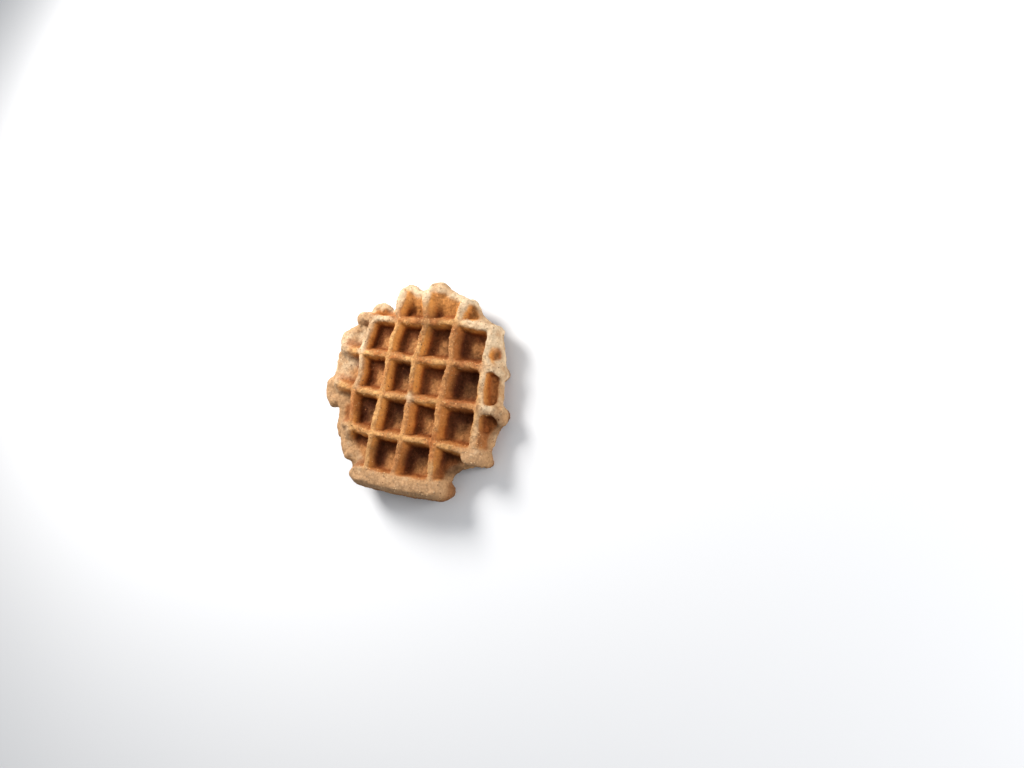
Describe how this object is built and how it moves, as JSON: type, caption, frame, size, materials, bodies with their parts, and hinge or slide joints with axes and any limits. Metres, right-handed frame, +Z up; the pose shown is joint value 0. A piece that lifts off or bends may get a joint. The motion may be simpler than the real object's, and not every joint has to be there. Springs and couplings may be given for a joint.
{
  "type": "speculoos waffle",
  "caption": "Baked speculoos waffle with square pockets pressed into both faces, rounded rib ends round its uneven edge and a slight arch.",
  "frame": {"origin": "centre of the bounding box's underside, on the surface the waffle lies on", "axes": "+Z up through the waffle, +X along the cross ribs towards the blunt corner, +Y along the upright ribs away from the broad straight edge"},
  "size_m": [0.1014, 0.0958, 0.0184],
  "materials": {
    "crust": "baked crust, matt, golden brown with darker pockets"
  },
  "bodies": {
    "root": {"waffle": "crust"}
  },
  "joints": []
}
